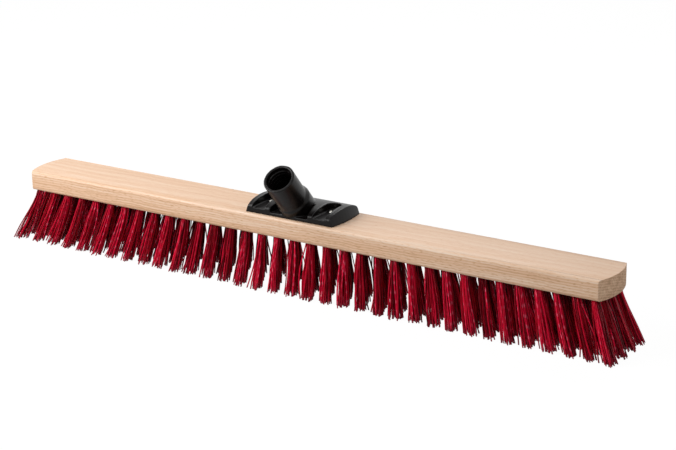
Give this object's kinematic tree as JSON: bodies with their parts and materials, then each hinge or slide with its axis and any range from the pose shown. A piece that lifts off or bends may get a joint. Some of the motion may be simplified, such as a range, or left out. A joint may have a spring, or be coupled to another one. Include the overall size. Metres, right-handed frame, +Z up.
{
  "type": "push broom head",
  "caption": "Wide push broom head: wooden block with four rows of fanned plastic bristle tufts and a screwed-on plastic holder with a slanted threaded handle socket.",
  "frame": {"origin": "middle of the head's bounding box, on the level of the trimmed bristle tips that the broom stands on", "axes": "+X along the block, +Y away from the side that the handle socket leans to, +Z up from the bristle tips to the block"},
  "size_m": [0.8518, 0.1046, 0.157],
  "materials": {
    "beech": "planed, unvarnished",
    "holder_plastic": "moulded, fine satin texture",
    "screw_steel": "zinc plated",
    "bristle_plastic": "extruded, semi-gloss",
    "wire_steel": "drawn wire"
  },
  "bodies": {
    "root": {"broom_block": "beech", "handle_holder": "holder_plastic", "holder_screw_left": "screw_steel", "holder_screw_right": "screw_steel", "bristle_row_front": "bristle_plastic", "bristle_row_front_inner": "bristle_plastic", "bristle_row_back_inner": "bristle_plastic", "bristle_row_back": "bristle_plastic", "tuft_wires_front": "wire_steel", "tuft_wires_front_inner": "wire_steel", "tuft_wires_back_inner": "wire_steel", "tuft_wires_back": "wire_steel"}
  },
  "joints": []
}
